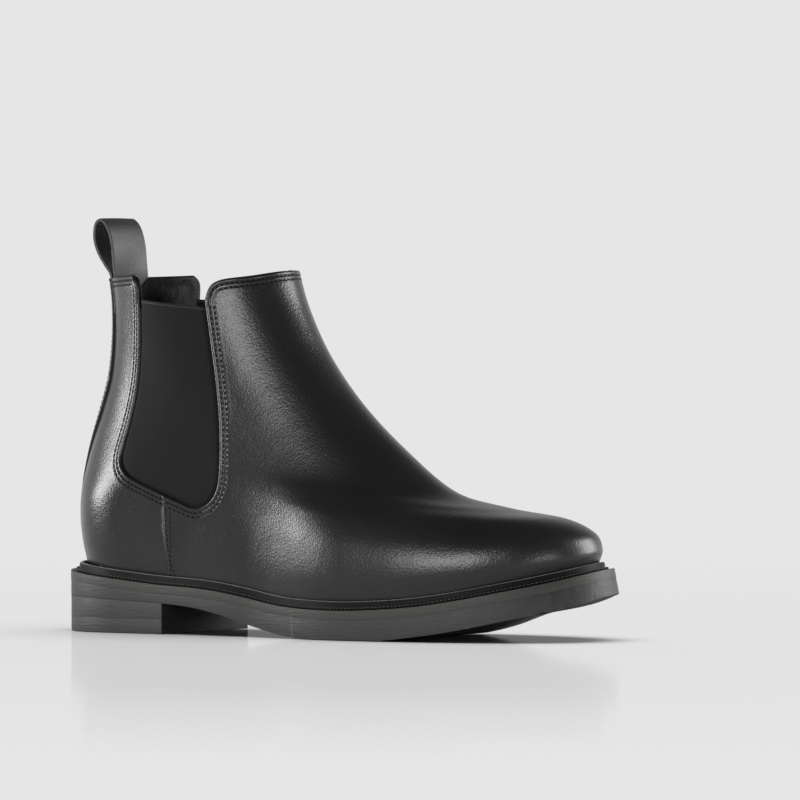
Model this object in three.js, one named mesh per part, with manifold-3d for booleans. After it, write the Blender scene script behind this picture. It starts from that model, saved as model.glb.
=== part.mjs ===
// Chelsea boot, right foot. +X toe, +Y medial side, +Z up, millimetres.
// The origin is the middle of the heel tread on the ground.
import * as THREE from "three";
import Module from "manifold-3d";

// ---------- driving sizes ----------
const LENGTH = 288.3; // of the last, heel to toe
const BALL = 99; // width of the last at the ball
const SHAFT = 175.5; // height of the topline at the back
const SKIN = 1.8; // upper leather
const GAP = 0.3; // clearance between neighbouring pieces
const FEATHER = 3.7; // welt seat above the sole's top face
const EDGE_SIDE = 5.8; // how far the sole stands out at the sides
const EDGE_TOE = 7.6;
const EDGE_HEEL = 6.0;
const MIDSOLE = 4.5;
const HEEL_BREAST = 36; // front face of the heel
const TOP_PIECE = 7; // bottom layer of the heel
const GORE_IN = 0.5; // elastic lies this far under the leather face
const GORE_THICK = 1.3;
const STIFF_IN = SKIN + 0.5; // stiffeners between leather and lining
const STIFF = 0.5;
const LINING_IN = STIFF_IN + STIFF + 0.4;
const LINING = 1.0;
const FOOT_IN = LINING_IN + LINING + 0.5; // edge of the insole under the leather face
const LOOP_WIDTH = 26;
const LOOP_STRAP = 1.6;
const LOOP_HEIGHT = 28;
const LOOP_DEEP = 14;
const LOOP_BACK = 2.2; // fold of the loop in front of the leather face
const NAIL_R = 1.1;
const NAIL_DEEP = 4; // how far the nails reach into the heel block
const SHANK = [-8, 92, 13]; // from, to, width
const TOE_TURN = 9; // swing of the toe to the medial side
const TWIST = 0.36; // the toe lifts along an oblique line
const AROUND = 50; // cells of every shell of the upper
const RISE = 16;
const ROWS = 30; // rows of every sole layer

// the tables below are drawn at the first three sizes and stretched to them
const KNEE = 62; // the shaft is stretched above this height only
const long = (x) => (x * LENGTH) / 288.3;
const wide = (y) => (y * BALL) / 99;
const tall = (z) => (z < KNEE ? z : KNEE + ((z - KNEE) * (SHAFT - KNEE)) / (175.5 - KNEE));
const side = (rows) => rows.map(([x, z]) => [long(x), tall(z)]);

// ---------- the last: slices from the feather line up to the topline ----------
// front x, front z, back x, back z, nose, tail, half width at ball, waist, heel
const SLICES = [
  [256, 37, -30.8, 34, 0.33, 0.13, 47, 34, 31.5],
  [257.5, 44, -33, 45, 0.33, 0.13, 49.5, 34.5, 33.5],
  [253.5, 51.8, -34.3, 57, 0.34, 0.135, 48, 33.5, 34.5],
  [239, 58.5, -33.8, 70, 0.37, 0.15, 42.5, 32, 34.5],
  [212, 62.5, -31.5, 83, 0.41, 0.2, 36, 31.5, 33.8],
  [181, 70, -27.8, 97, 0.45, 0.26, 32.5, 31.2, 32.8],
  [151, 91.5, -23, 112, 0.48, 0.34, 31, 31, 31.8],
  [127, 113, -18.5, 128, 0.5, 0.42, 30.8, 31.2, 31.3],
  [107, 137, -16, 145, 0.5, 0.46, 31.5, 32, 31.5],
  [94, 160, -15.5, 161, 0.5, 0.5, 32.5, 33, 32.5],
  [86.5, 179.5, -16.5, 175.5, 0.5, 0.5, 33.5, 34, 33.5],
].map(([xf, zf, xb, zb, nose, tail, ...half]) => [
  long(xf), tall(zf), long(xb), tall(zb), nose, tail, ...half.map(wide),
]);
// height of the sole's top face and of its underside along x
const LEDGE = spline(
  [-40, 0, 35, 61, 84, 107, 131, 150, 170, 192, 231.4, 267, 277, 300].map(long),
  [30.5, 27.1, 24, 22.6, 19.6, 15.9, 14.4, 14.2, 15.1, 17.1, 23.5, 30.6, 33, 38.5],
);
const UNDER = spline(
  [-40, 35, 55, 73, 90, 108, 131, 150, 168, 184, 212, 239, 267, 278, 300].map(long),
  [15.4, 15, 13.4, 10, 5.7, 1.9, -0.2, -0.4, 0, 1.7, 6, 11.2, 17, 20.5, 27],
);
// outline of the elastic in the side view, clockwise from its top back corner
const GORE = side([
  [17, 164], [15.5, 140], [13.5, 122], [9.8, 104], [6.4, 91], [6.2, 86], [7.6, 82], [10.5, 79],
  [14.3, 76.4], [31.7, 69.5], [48.9, 63.1], [53, 62.2], [57, 62.8], [61.5, 65.5], [64.6, 70],
  [66.3, 76], [66.6, 90], [65.5, 108], [63, 125], [60, 143], [57.3, 161],
]);
// the gap above it, between the two rounded topline corners
const NOTCH = side([
  [17, 163.9], [57.3, 160.9], [56.5, 168], [57.3, 172.5], [60, 176], [64, 178.2], [70, 179.6],
  [75, 190], [0, 190], [9, 178.5], [13.5, 176.5], [16.4, 173.5], [17, 170],
]);
const SEAM = side([[33.3, 70], [34.6, 52], [37.5, 15]]); // side seam, from the elastic down

// ---------- small maths ----------
function spline(xs, ys) {
  const n = xs.length;
  const m = new Array(n).fill(0);
  const c = new Array(n).fill(0);
  const d = new Array(n).fill(0);
  for (let i = 1; i < n - 1; i++) {
    const h0 = xs[i] - xs[i - 1];
    const h1 = xs[i + 1] - xs[i];
    const r = 6 * ((ys[i + 1] - ys[i]) / h1 - (ys[i] - ys[i - 1]) / h0);
    const w = 2 * (h0 + h1) - h0 * c[i - 1];
    c[i] = h1 / w;
    d[i] = (r - h0 * d[i - 1]) / w;
  }
  for (let i = n - 2; i > 0; i--) m[i] = d[i] - c[i] * m[i + 1];
  return (x) => {
    let i = 0;
    while (i < n - 2 && x > xs[i + 1]) i++;
    const h = xs[i + 1] - xs[i];
    const a = (xs[i + 1] - x) / h;
    const b = (x - xs[i]) / h;
    const bend = ((a ** 3 - a) * m[i] + (b ** 3 - b) * m[i + 1]) * (h * h) / 6;
    return a * ys[i] + b * ys[i + 1] + bend;
  };
}
const clamp = (x) => Math.min(1, Math.max(0, x));
const smooth = (x) => clamp(x) ** 2 * (3 - 2 * clamp(x));
const mix = (a, b, t) => a + (b - a) * t;

// ---------- shape of the boot ----------
function swing(x) {
  return TOE_TURN * clamp((x - long(120)) / long(140)) ** 1.5;
}
function oblique(x, y) {
  return x + TWIST * (y + wide(45)) * smooth((x - long(150)) / long(55));
}
const ledge = (x, y = -wide(45)) => LEDGE(oblique(x, y));
const under = (x, y = -wide(45)) => Math.max(0, UNDER(oblique(x, y)));

function slice(v) {
  const n = SLICES.length;
  const s = clamp(v) * (n - 1);
  const i = Math.min(n - 2, Math.floor(s));
  const f = s - i;
  const row = (k) => SLICES[k] ?? null;
  return SLICES[0].map((_, c) => {
    const p1 = row(i)[c];
    const p2 = row(i + 1)[c];
    const p0 = row(i - 1) ? row(i - 1)[c] : 2 * p1 - p2;
    const p3 = row(i + 2) ? row(i + 2)[c] : 2 * p2 - p1;
    const q = 2 * p0 - 5 * p1 + 4 * p2 - p3;
    return 0.5 * (2 * p1 + (p2 - p0) * f + q * f * f + (3 * p1 - p0 - 3 * p2 + p3) * f ** 3);
  });
}

function halfWidth(t, side, nose, tail, ball, waist, heel) {
  const tb = side < 0 ? 0.36 : 0.29;
  const tw = side < 0 ? 0.6 : 0.62;
  const b = side < 0 ? ball : ball * 0.98;
  const w = side < 0 ? waist + 1.5 : waist - 1.5;
  let a = b;
  if (t >= tb) a = mix(b, w, smooth((t - tb) / (tw - tb)));
  if (t >= tw) a = mix(w, heel, smooth((t - tw) / (0.84 - tw)));
  const front = 1 - clamp(1 - t / (nose * (side < 0 ? 1.03 : 0.92))) ** 2.3;
  const back = 1 - clamp(1 - (1 - t) / tail) ** 2;
  return a * Math.sqrt(Math.max(0, front)) * Math.sqrt(Math.max(0, back));
}

// u runs round from the toe over the lateral side (0.25) to the heel (0.5)
function skin(u, v) {
  const w = ((u % 1) + 1) % 1;
  const side = w < 0.5 ? -1 : 1;
  const t = (1 - Math.cos(Math.PI * 2 * (w < 0.5 ? w : 1 - w))) / 2;
  const [xf, zf, xb, zb, nose, tail, ball, waist, heel] = slice(v);
  const x = mix(xf, xb, t);
  const y = side * halfWidth(t, side, nose, tail, ball, waist, heel) + swing(x);
  const sag = clamp(1 - v / 0.45) ** 1.3;
  const low = ledge(x, y) + FEATHER;
  const flat = mix(ledge(xf, swing(xf)), ledge(xb), t) + FEATHER;
  return new THREE.Vector3(x, y, mix(zf, zb, t) + sag * (low - flat));
}

function offsetSkin(u, v, depth) {
  const e = 0.004;
  const v0 = Math.max(0, v - e);
  const v1 = Math.min(1, v + e);
  const along = skin(u + e, v).sub(skin(u - e, v));
  const rise = skin(u, v1).sub(skin(u, v0));
  const n = rise.cross(along).normalize();
  const p = skin(u, v);
  const keep = p.z;
  p.addScaledVector(n, depth);
  if (v < 0.02 || v > 0.98) p.z = keep; // flat rims
  return p;
}

// outline of the feather line, pushed out by o
function outline(u, o) {
  const e = 0.004;
  const d = skin(u + e, 0).sub(skin(u - e, 0));
  const n = new THREE.Vector2(-d.y, d.x).normalize();
  const p = skin(u, 0);
  return [p.x + n.x * o, p.y + n.y * o];
}
function edge(u) {
  const [x] = outline(u, 0);
  const toe = (EDGE_TOE - EDGE_SIDE) * clamp((x - long(200)) / long(60));
  return EDGE_SIDE + toe + (EDGE_HEEL - EDGE_SIDE) * clamp(-x / 30);
}
// a point of the sole: depth below the sole's top face, the edge leaning with the toe
function sunk(x, y, depth) {
  const slope = x > long(120) ? Math.atan(ledge(x + 0.5, y) - ledge(x - 0.5, y)) : 0;
  return new THREE.Vector3(x + depth * Math.sin(slope), y, ledge(x, y) - depth);
}

// ---------- solids ----------
const wasm = await Module();
wasm.setup();
const { Manifold, Mesh } = wasm;

function solid(points, faces) {
  const mesh = new Mesh({
    numProp: 3,
    vertProperties: new Float32Array(points.flatMap((p) => [p.x, p.y, p.z])),
    triVerts: new Uint32Array(faces.flat()),
  });
  mesh.merge();
  return new Manifold(mesh);
}
// closed ring from rows of points: rings[i] is one section, both directions wrap
function ringSolid(rings) {
  const n = rings.length;
  const m = rings[0].length;
  const faces = [];
  for (let i = 0; i < n; i++) {
    for (let j = 0; j < m; j++) {
      const a = i * m + j;
      const b = ((i + 1) % n) * m + j;
      const c = ((i + 1) % n) * m + ((j + 1) % m);
      const d = i * m + ((j + 1) % m);
      faces.push([a, b, c], [a, c, d]);
    }
  }
  return outward(rings.flat(), faces);
}
function outward(points, faces) {
  const s = solid(points, faces);
  if (s.volume() > 0) return s;
  return solid(points, faces.map(([a, b, c]) => [a, c, b]));
}
// slab between two faces, ruled across from the lateral to the medial outline
function slab(outlineAt, top, bottom, from = 0, to = 0.5, rows = ROWS, cols = 3) {
  const points = [];
  const id = new Map();
  const at = (i, j, k) => {
    const u = mix(from, to, i / rows);
    const end = (i === 0 && from === 0) || (i === rows && to === 0.5);
    const key = `${i},${end ? 0 : j},${k}`;
    if (!id.has(key)) {
      const [ax, ay] = outlineAt(u);
      const [bx, by] = outlineAt(1 - u);
      const x = mix(ax, bx, end ? 0 : j / cols);
      const y = mix(ay, by, end ? 0 : j / cols);
      id.set(key, points.length);
      points.push((k ? bottom : top)(x, y));
    }
    return id.get(key);
  };
  const faces = [];
  const quad = (a, b, c, d) => {
    for (const f of [[a, b, c], [a, c, d]]) {
      if (new Set(f).size === 3) faces.push(f);
    }
  };
  for (let i = 0; i < rows; i++) {
    for (let j = 0; j < cols; j++) {
      quad(at(i, j, 0), at(i + 1, j, 0), at(i + 1, j + 1, 0), at(i, j + 1, 0));
      quad(at(i, j, 1), at(i, j + 1, 1), at(i + 1, j + 1, 1), at(i + 1, j, 1));
    }
    quad(at(i, 0, 0), at(i, 0, 1), at(i + 1, 0, 1), at(i + 1, 0, 0));
    quad(at(i, cols, 0), at(i + 1, cols, 0), at(i + 1, cols, 1), at(i, cols, 1));
  }
  for (let j = 0; j < cols; j++) {
    if (from > 0) quad(at(0, j, 0), at(0, j + 1, 0), at(0, j + 1, 1), at(0, j, 1));
    if (to < 0.5) quad(at(rows, j, 0), at(rows, j, 1), at(rows, j + 1, 1), at(rows, j + 1, 0));
  }
  return outward(points, faces);
}
// shell of the upper between two depths under the leather face
function shell(d0, d1) {
  const rings = [];
  for (let i = 0; i < AROUND; i++) {
    const ring = [];
    for (let j = 0; j <= RISE; j++) ring.push(offsetSkin(i / AROUND, j / RISE, -d0));
    for (let j = RISE; j >= 0; j--) ring.push(offsetSkin(i / AROUND, j / RISE, -d1));
    rings.push(ring);
  }
  return ringSolid(rings);
}
function bufferSolid(geometry) {
  const flat = geometry.index ? geometry.toNonIndexed() : geometry;
  const p = flat.getAttribute("position");
  const points = [];
  for (let i = 0; i < p.count; i++) points.push(new THREE.Vector3().fromBufferAttribute(p, i));
  const faces = [];
  for (let i = 0; i < p.count; i += 3) faces.push([i, i + 1, i + 2]);
  return solid(points, faces);
}
// prism through the boot across Y from a side-view outline
function prism(poly, y0 = -90, y1 = 90) {
  const shape = new THREE.Shape(poly.map(([x, z]) => new THREE.Vector2(x, z)));
  const g = new THREE.ExtrudeGeometry(shape, { depth: y1 - y0, bevelEnabled: false });
  g.rotateX(Math.PI / 2);
  g.translate(0, y1, 0);
  return bufferSolid(g);
}
function box(x0, x1, y0, y1, z0, z1) {
  const g = new THREE.BoxGeometry(x1 - x0, y1 - y0, z1 - z0);
  g.translate((x0 + x1) / 2, (y0 + y1) / 2, (z0 + z1) / 2);
  return bufferSolid(g);
}
function rod(x, y, z0, z1, r, sides = 10) {
  const g = new THREE.CylinderGeometry(r, r, z1 - z0, sides);
  g.rotateX(Math.PI / 2);
  g.translate(x, y, (z0 + z1) / 2);
  return bufferSolid(g);
}
// an outline moved in (minus) or out (plus) by d along its own normals
function grow(poly, d) {
  const n = poly.length;
  const area = poly.reduce((s, [x, y], i) => {
    const [a, b] = poly[(i + 1) % n];
    return s + x * b - a * y;
  }, 0);
  const sign = area > 0 ? 1 : -1;
  return poly.map(([x, y], i) => {
    const [px, py] = poly[(i + n - 1) % n];
    const [qx, qy] = poly[(i + 1) % n];
    const a = new THREE.Vector2(y - py, px - x).normalize();
    const b = new THREE.Vector2(qy - y, x - qx).normalize();
    const m = a.clone().add(b).normalize();
    const k = (d * sign) / Math.max(0.5, m.dot(a));
    return [x + m.x * k, y + m.y * k];
  });
}

const root = new THREE.Group();
root.name = "chelsea_boot";
function add(name, body, color, rough = 0.6, metal = 0) {
  const out = body.getMesh();
  const g = new THREE.BufferGeometry();
  const n = out.numProp;
  const pos = new Float32Array((out.vertProperties.length / n) * 3);
  for (let i = 0; i < pos.length / 3; i++) {
    for (let k = 0; k < 3; k++) pos[i * 3 + k] = out.vertProperties[i * n + k];
  }
  g.setAttribute("position", new THREE.BufferAttribute(pos, 3));
  g.setIndex(new THREE.BufferAttribute(new Uint32Array(out.triVerts), 1));
  g.computeVertexNormals();
  const m = new THREE.MeshStandardMaterial({ color, roughness: rough, metalness: metal });
  m.name = name;
  const mesh = new THREE.Mesh(g, m);
  mesh.name = name;
  root.add(mesh);
}

// ---------- cutters shared by the upper and its lining ----------
const opening = prism(grow(GORE, GAP / 2)).add(prism(grow(NOTCH, GAP / 2)));
const lateralHalf = box(-200, 500, -200, -GAP / 2, 0, 400);
const medialHalf = box(-200, 500, GAP / 2, 200, 0, 400);
function behind(dx) {
  const line = SEAM.map(([x, z]) => [x + dx, z]);
  const [topX] = line[0];
  return prism([[-200, 400], [topX, 400], ...line, [line[2][0], -5], [-200, -5]]);
}
function ahead(dx) {
  const line = SEAM.map(([x, z]) => [x + dx, z]);
  const [topX] = line[0];
  return prism([[500, 400], [500, -5], [line[2][0], -5], ...line.reverse(), [topX, 400]]);
}

// ---------- upper ----------
function upper() {
  const leather = shell(0, SKIN).subtract(opening);
  add("vamp", leather.intersect(ahead(GAP / 2)), 0x1c1c1d, 0.45);
  const back = leather.intersect(behind(-GAP / 2));
  add("quarter_lateral", back.intersect(lateralHalf), 0x202021, 0.45);
  add("quarter_medial", back.intersect(medialHalf), 0x202021, 0.45);
}
function gores() {
  const sheet = shell(GORE_IN, GORE_IN + GORE_THICK);
  const rim = 2.2;
  const [backX, backZ] = GORE[0];
  const [frontX, frontZ] = GORE.at(-1);
  const above = (d) => [[backX, backZ - d], [backX - 30, backZ - d], [backX - 30, backZ + 40],
    [frontX + 30, backZ + 40], [frontX + 30, frontZ - d], [frontX, frontZ - d]];
  const below = (d) => [[backX, backZ - d], [frontX, frontZ - d], [frontX + 40, frontZ - d],
    [frontX + 40, 30], [backX - 40, 30], [backX - 40, backZ - d]];
  const cloth = prism(grow(GORE, -GAP / 2));
  const binding = prism(above(rim));
  const lower = prism(below(rim + GAP));
  for (const [name, half] of [["lateral", lateralHalf], ["medial", medialHalf]]) {
    const one = sheet.intersect(cloth).intersect(half);
    add(`gore_${name}`, one.intersect(lower), 0x161616, 0.95);
    add(`gore_binding_${name}`, one.intersect(binding), 0x101010, 0.8);
  }
}
function lining() {
  const cutout = prism(grow(GORE, -5)).add(prism(grow(NOTCH, GAP / 2)))
    .add(prism(side([[21, 150], [53, 150], [57, 166], [17, 166]])));
  const sheet = shell(LINING_IN, LINING_IN + LINING).subtract(cutout);
  add("vamp_lining", sheet.intersect(ahead(9 + GAP / 2)), 0x17171a, 0.7);
  add("quarter_lining", sheet.intersect(behind(9 - GAP / 2)), 0x17171a, 0.7);
}
function stiffeners() {
  const sheet = shell(STIFF_IN, STIFF_IN + STIFF);
  const puff = prism(side([[206, 10], [206, 48], [214, 90], [300, 90], [300, 10]]));
  add("toe_puff", sheet.intersect(puff), 0x8a8272, 0.9);
  const cup = prism(side([[-60, 20], [-60, 78], [-10, 76], [6, 66], [24, 54], [28, 20]]));
  add("heel_counter", sheet.intersect(cup), 0x8f8f8a, 0.9);
  const strip = box(-60, 0, -6, 6, tall(78) + 2, SHAFT - 21.5);
  add("back_seam_tape", sheet.intersect(strip), 0x2a2a2a, 0.9);
  const tail = box(-60, 0, -LOOP_WIDTH / 2, LOOP_WIDTH / 2, SHAFT - 18.5, SHAFT - 0.9);
  add("pull_loop_tail", sheet.intersect(tail), 0x2a2a2b, 0.6);
}

// ---------- pull loop: one strap folded into a drop shape ----------
function pullLoop() {
  const axisX = skin(0.5, 1).x + LOOP_BACK;
  const axisZ = SHAFT + GAP + LOOP_STRAP + 0.2;
  const outer = [];
  const steps = 28;
  const foot = LOOP_STRAP + 0.05;
  for (let i = 0; i <= steps; i++) {
    const a = mix(-0.5, 1.5, i / steps) * Math.PI;
    const lift = (Math.sin(a) + 1) / 2;
    const bulge = smooth(lift * 1.25) ** 0.9;
    const half = mix(foot, LOOP_DEEP / 2, bulge) * Math.abs(Math.cos(a)) ** 0.55;
    const x = Math.sign(Math.cos(a)) * half;
    const z = -foot + lift * (LOOP_HEIGHT + foot);
    outer.push([axisX + x - 0.1 * z, axisZ + z]);
  }
  outer.pop();
  const hole = [];
  for (let i = 0; i < steps; i++) {
    const a = mix(-0.5, 1.5, i / steps) * Math.PI;
    const lift = (Math.sin(a) + 1) / 2;
    const bulge = smooth(0.12 + lift * 1.1) ** 0.9;
    const half = mix(0.25, LOOP_DEEP / 2 - LOOP_STRAP, bulge) * Math.abs(Math.cos(a)) ** 0.6;
    const x = Math.sign(Math.cos(a)) * half;
    const z = 5 + lift * (LOOP_HEIGHT - LOOP_STRAP - 5);
    hole.push([axisX + x - 0.1 * z, axisZ + z]);
  }
  const y = LOOP_WIDTH / 2;
  const body = prism(outer, -y, y).subtract(prism(hole, -y - 1, y + 1));
  add("pull_loop", body, 0x3a3a3b, 0.5);
}

// ---------- inside the foot ----------
function level(h) {
  return (x, y) => new THREE.Vector3(x, y, ledge(x, y) + h);
}
function insoles() {
  add("insole_board", slab((u) => outline(u, -FOOT_IN), level(6.2), level(FEATHER)), 0xb89468, 0.85);
  add("sock_liner", slab((u) => outline(u, -FOOT_IN - GAP), level(7.4), level(6.5)), 0x2b2a2a, 0.7);
  const pad = slab((u) => outline(u, -FOOT_IN - 2.3), level(9.4), level(7.7));
  add("heel_pad", pad.intersect(box(-90, long(42), -90, 90, 0, 90)), 0x222222, 0.8);
}
// a ring with the given section of [outward offset, height above the sole's top face]
function sweep(section, n = 2 * ROWS) {
  const rings = [];
  for (let i = 0; i < n; i++) {
    const u = i / n;
    rings.push(section.map(([o, h]) => {
      const [x, y] = outline(u, o);
      return new THREE.Vector3(x, y, ledge(x, y) + h);
    }));
  }
  return ringSolid(rings);
}
function weltParts() {
  add("welt", sweep([
    [-6, GAP], [4.8, GAP], [4.8, 1.9], [4.2, 1.9], [4.2, 1.3], [3.1, 1.3], [3.1, 2], [2.4, 2.3],
    [2.2, 4.1], [0.7, 4.1], [0.6, 3.4], [-6, 3.4],
  ]), 0x151515, 0.5);
  add("welt_thread", sweep([[3.3, 1.45], [4, 1.45], [4, 2], [3.3, 2]]), 0x222222, 0.9);
  add("insole_rib", sweep([[-8.3, 0.6], [-6.4, 0.6], [-6.4, 3.2], [-8.3, 3.2]]), 0xcabf9e, 0.95);
  const [x0, x1, w] = SHANK;
  const cork = slab((u) => outline(u, -8.7), level(3.3), level(GAP));
  const slot = box(x0 - GAP, x1 + GAP, -w / 2 - GAP, w / 2 + GAP, 0, 60);
  add("cork_filler", cork.subtract(slot), 0xb98f5e, 0.95);
  const plate = slab((u) => outline(u, -8.7), level(3.1), level(0.7));
  add("shank", plate.intersect(box(x0, x1, -w / 2, w / 2, 0, 60)), 0x9a9da0, 0.35, 1);
}

// ---------- sole and heel ----------
const rim = (u) => outline(u, edge(u));
function soles() {
  const face = (d) => (x, y) => sunk(x, y, d);
  add("midsole", slab(rim, face(0), face(MIDSOLE)), 0x55534f, 0.7);
  const bottom = (x, y) => {
    const p = sunk(x, y, Math.max(MIDSOLE + GAP + 2, ledge(x, y) - under(x, y)));
    if (under(x, y) === 0) p.z = 0;
    return p;
  };
  add("outsole", slab(rim, face(MIDSOLE + GAP), bottom), 0x3a3a39, 0.8);
}
function nailHoles() {
  const back = skin(0.5, 0).x;
  const half = skin(0.4, 0).y;
  return [[back + 9, 0], [back + 19, half + 8], [back + 19, -half - 8], [HEEL_BREAST - 18, half + 8],
    [HEEL_BREAST - 18, -half - 8]];
}
function heel() {
  const taper = (d) => (u) => outline(u, edge(u) - d);
  const seat = (x, y) => new THREE.Vector3(x, y, UNDER(x) - GAP);
  const flat = (z) => (x, y) => new THREE.Vector3(x, y, z);
  const cut = prism([[-90, -1], [HEEL_BREAST - 1, -1], [HEEL_BREAST + 1, 40], [-90, 40]]);
  let lift = slab(taper(0.4), seat, flat(TOP_PIECE + GAP), 0.31, 0.5, 14).intersect(cut);
  let cap = slab(taper(0.1), flat(TOP_PIECE), flat(0), 0.31, 0.5, 14).intersect(cut);
  nailHoles().forEach(([x, y], i) => {
    lift = lift.subtract(rod(x, y, -5, TOP_PIECE + NAIL_DEEP + GAP, NAIL_R + GAP));
    cap = cap.subtract(rod(x, y, -5, 20, NAIL_R + GAP));
    add(`heel_nail_${i + 1}`, rod(x, y, 1.2, TOP_PIECE + NAIL_DEEP, NAIL_R), 0xb08a3c, 0.35, 1);
  });
  add("heel_lift", lift, 0x4a4946, 0.75);
  add("heel_top_piece", cap, 0x2c2c2c, 0.85);
}

upper();
gores();
lining();
stiffeners();
pullLoop();
insoles();
weltParts();
soles();
heel();

export default root;
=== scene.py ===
# %% [markdown]
# # A chelsea boot
# A chelsea boot is a slip-on ankle boot: a leather front, two leather quarters at the back, and an
# elastic panel in each side that lets the foot in. Everything here follows one shape, the last,
# which is the wooden foot that a maker pulls the leather over. The last is written as a formula
# first, and each piece is then a flat sheet that is pulled over it, trimmed, thickened and sewn.

# %% Load the frame
import math

import bpy
import numpy as np
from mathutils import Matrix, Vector, noise


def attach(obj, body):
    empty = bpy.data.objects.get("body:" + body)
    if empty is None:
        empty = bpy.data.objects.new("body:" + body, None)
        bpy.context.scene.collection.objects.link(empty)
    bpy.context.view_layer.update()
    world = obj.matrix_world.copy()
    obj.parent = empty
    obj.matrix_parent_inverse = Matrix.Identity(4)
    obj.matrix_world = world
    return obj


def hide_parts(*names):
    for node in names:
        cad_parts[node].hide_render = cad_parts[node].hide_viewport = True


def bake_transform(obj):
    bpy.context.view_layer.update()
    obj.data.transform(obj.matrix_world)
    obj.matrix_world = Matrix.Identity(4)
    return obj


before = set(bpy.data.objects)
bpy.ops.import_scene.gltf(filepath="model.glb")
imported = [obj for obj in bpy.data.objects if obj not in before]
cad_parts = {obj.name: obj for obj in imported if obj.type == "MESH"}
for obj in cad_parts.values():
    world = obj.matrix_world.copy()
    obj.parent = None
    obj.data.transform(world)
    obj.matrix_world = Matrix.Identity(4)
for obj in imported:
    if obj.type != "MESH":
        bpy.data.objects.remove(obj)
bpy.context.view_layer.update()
MM = 0.001
print("cad nodes:", len(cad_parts))

# %% [markdown]
# ## The camera first
# A long lens far away keeps the lines of the boot nearly parallel, as a catalogue picture does.
# The camera turns 35 degrees from the side towards the toe and looks down by a little over two.

# %% Camera
AZ, EL = math.radians(35.0), math.radians(2.4)
DISTANCE, LENS = 4.2, 378.3
back = Vector((math.sin(AZ) * math.cos(EL), -math.cos(AZ) * math.cos(EL), math.sin(EL)))
right = Vector((math.cos(AZ), math.sin(AZ), 0.0))
up = back.cross(right)
target = right * 0.127 + up * 0.1145
camera = bpy.data.objects.new("camera", bpy.data.cameras.new("camera"))
bpy.context.collection.objects.link(camera)
camera.location = back * DISTANCE
camera.rotation_euler = (camera.location - target).to_track_quat("Z", "Y").to_euler()
camera.data.lens = LENS
camera.data.clip_end = 50.0
bpy.context.scene.camera = camera
print("camera at", [round(c, 3) for c in camera.location])

# %% [markdown]
# ## The last
# Tilted slices run from the feather line, where the upper meets the welt, up to the topline.
# Each slice has a front and a back point, how round its nose and tail are, and its half widths.
# The soles follow two curves along the boot: the top face of the sole, and its underside.

# %% The tables of the last
SLICES = np.array([
    (256, 37, -30.8, 34, .33, .13, 47, 34, 31.5),
    (257.5, 44, -33, 45, .33, .13, 49.5, 34.5, 33.5),
    (253.5, 51.8, -34.3, 57, .34, .135, 48, 33.5, 34.5),
    (239, 58.5, -33.8, 70, .37, .15, 42.5, 32, 34.5),
    (212, 62.5, -31.5, 83, .41, .2, 36, 31.5, 33.8),
    (181, 70, -27.8, 97, .45, .26, 32.5, 31.2, 32.8),
    (151, 91.5, -23, 112, .48, .34, 31, 31, 31.8),
    (127, 113, -18.5, 128, .5, .42, 30.8, 31.2, 31.3),
    (107, 137, -16, 145, .5, .46, 31.5, 32, 31.5),
    (94, 160, -15.5, 161, .5, .5, 32.5, 33, 32.5),
    (86.5, 179.5, -16.5, 175.5, .5, .5, 33.5, 34, 33.5)], float)
GORE = [
    (17, 164), (15.5, 140), (13.5, 122), (9.8, 104), (6.4, 91), (6.2, 86), (7.6, 82), (10.5, 79),
    (14.3, 76.4), (31.7, 69.5), (48.9, 63.1), (53, 62.2), (57, 62.8), (61.5, 65.5), (64.6, 70),
    (66.3, 76), (66.6, 90), (65.5, 108), (63, 125), (60, 143), (57.3, 161)]
NOTCH = [
    (56.5, 164), (57.8, 168.5), (59.5, 171.8), (62.5, 174), (67, 175.3), (75, 176.3),
    (82, 177.7), (90, 180.4), (95, 196), (0, 196),
    (9, 178.5), (13.5, 176.5), (16.4, 173.5), (17, 170)]
SEAM_X = ([15, 52, 70], [38.0, 35.2, 34.0])


def natural_spline(xs, ys):
    xs, ys = np.array(xs, float), np.array(ys, float)
    n, h = len(xs), np.diff(xs)
    a = np.eye(n)
    r = np.zeros(n)
    for i in range(1, n - 1):
        a[i, i - 1:i + 2] = h[i - 1], 2 * (h[i - 1] + h[i]), h[i]
        r[i] = 6 * ((ys[i + 1] - ys[i]) / h[i] - (ys[i] - ys[i - 1]) / h[i - 1])
    m = np.linalg.solve(a, r)

    def at(x):
        x = np.asarray(x, float)
        i = np.clip(np.searchsorted(xs, x) - 1, 0, n - 2)
        p, q = (xs[i + 1] - x) / h[i], (x - xs[i]) / h[i]
        bend = ((p ** 3 - p) * m[i] + (q ** 3 - q) * m[i + 1]) * h[i] ** 2 / 6
        return p * ys[i] + q * ys[i + 1] + bend
    return at


LEDGE = natural_spline(
    [-40, 0, 35, 61, 84, 107, 131, 150, 170, 192, 231.4, 267, 277, 300],
    [30.5, 27.1, 24, 22.6, 19.6, 15.9, 14.4, 14.2, 15.1, 17.1, 23.5, 30.6, 33, 38.5])
UNDER = natural_spline(
    [-40, 35, 55, 73, 90, 108, 131, 150, 168, 184, 212, 239, 267, 278, 300],
    [18, 15, 13.4, 10, 5.7, 1.9, -0.2, -0.4, 0, 1.7, 6, 11.2, 17, 20.5, 27])


def smooth(x):
    x = np.clip(x, 0, 1)
    return x * x * (3 - 2 * x)


def mix(a, b, t):
    return a + (b - a) * t


def oblique(x, y):
    return x + 0.36 * (y + 45) * smooth((x - 150) / 55)


def ledge(x, y):
    return LEDGE(oblique(x, y))


def under(x, y):
    return np.maximum(0, UNDER(oblique(x, y)))


def swing(x):
    return 9 * np.clip((x - 120) / 140, 0, 1) ** 1.5


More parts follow.
